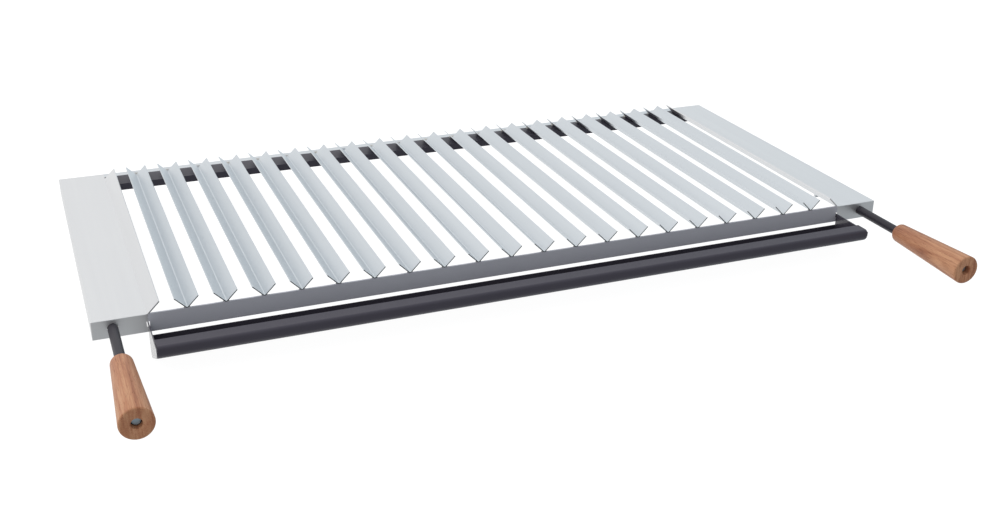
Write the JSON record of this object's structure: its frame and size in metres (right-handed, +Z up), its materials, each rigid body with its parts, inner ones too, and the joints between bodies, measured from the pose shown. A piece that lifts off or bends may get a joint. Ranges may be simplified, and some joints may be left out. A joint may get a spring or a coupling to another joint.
{
  "type": "barbecue grill grate",
  "caption": "Stainless barbecue grate of V-shaped grease channels between two side panels, with a hooked-on front grease tray and wooden grips on rods.",
  "frame": {"origin": "bottom centre of the whole grate's box: midway between the panels, midway from the grips' ends to the back, at the tray's lowest line", "axes": "+X to the right along the tray, +Y from the grips to the back, +Z up"},
  "size_m": [0.8852, 0.5856, 0.0559],
  "materials": {
    "stainless": "fine brushed stainless sheet",
    "grey_paint": "satin dark grey heat-resistant paint",
    "black_paint": "satin black heat-resistant paint",
    "wood": "oiled reddish-brown hardwood, turned",
    "zinc": "bright zinc plate"
  },
  "bodies": {
    "grate": {"front_crossbar": "grey_paint", "grip_left": "wood", "grip_right": "wood", "handle_gusset_left": "stainless", "handle_gusset_right": "stainless", "handle_nut_left": "zinc", "handle_nut_right": "zinc", "handle_rod_left": "black_paint", "handle_rod_right": "black_paint", "handle_washer_left": "zinc", "handle_washer_right": "zinc", "rear_rail": "stainless", "rear_support_bar": "black_paint", "side_panel_left": "stainless", "side_panel_right": "stainless", "v_channel_01": "stainless", "v_channel_02": "stainless", "v_channel_03": "stainless", "v_channel_04": "stainless", "v_channel_05": "stainless", "v_channel_06": "stainless", "v_channel_07": "stainless", "v_channel_08": "stainless", "v_channel_09": "stainless", "v_channel_10": "stainless", "v_channel_11": "stainless", "v_channel_12": "stainless", "v_channel_13": "stainless", "v_channel_14": "stainless", "v_channel_15": "stainless", "v_channel_16": "stainless", "v_channel_17": "stainless", "v_channel_18": "stainless", "v_channel_19": "stainless", "v_channel_20": "stainless"},
    "tray": {"tray_trough": "black_paint", "tray_end_left": "black_paint", "tray_end_right": "black_paint"}
  },
  "joints": [
    {"name": "tray_swing", "type": "hinge", "parent": "grate", "child": "tray", "pos_m": [0, -0.11025, 0.0307], "axis": [-1, 0, 0], "range_deg": [0, 24]}
  ]
}
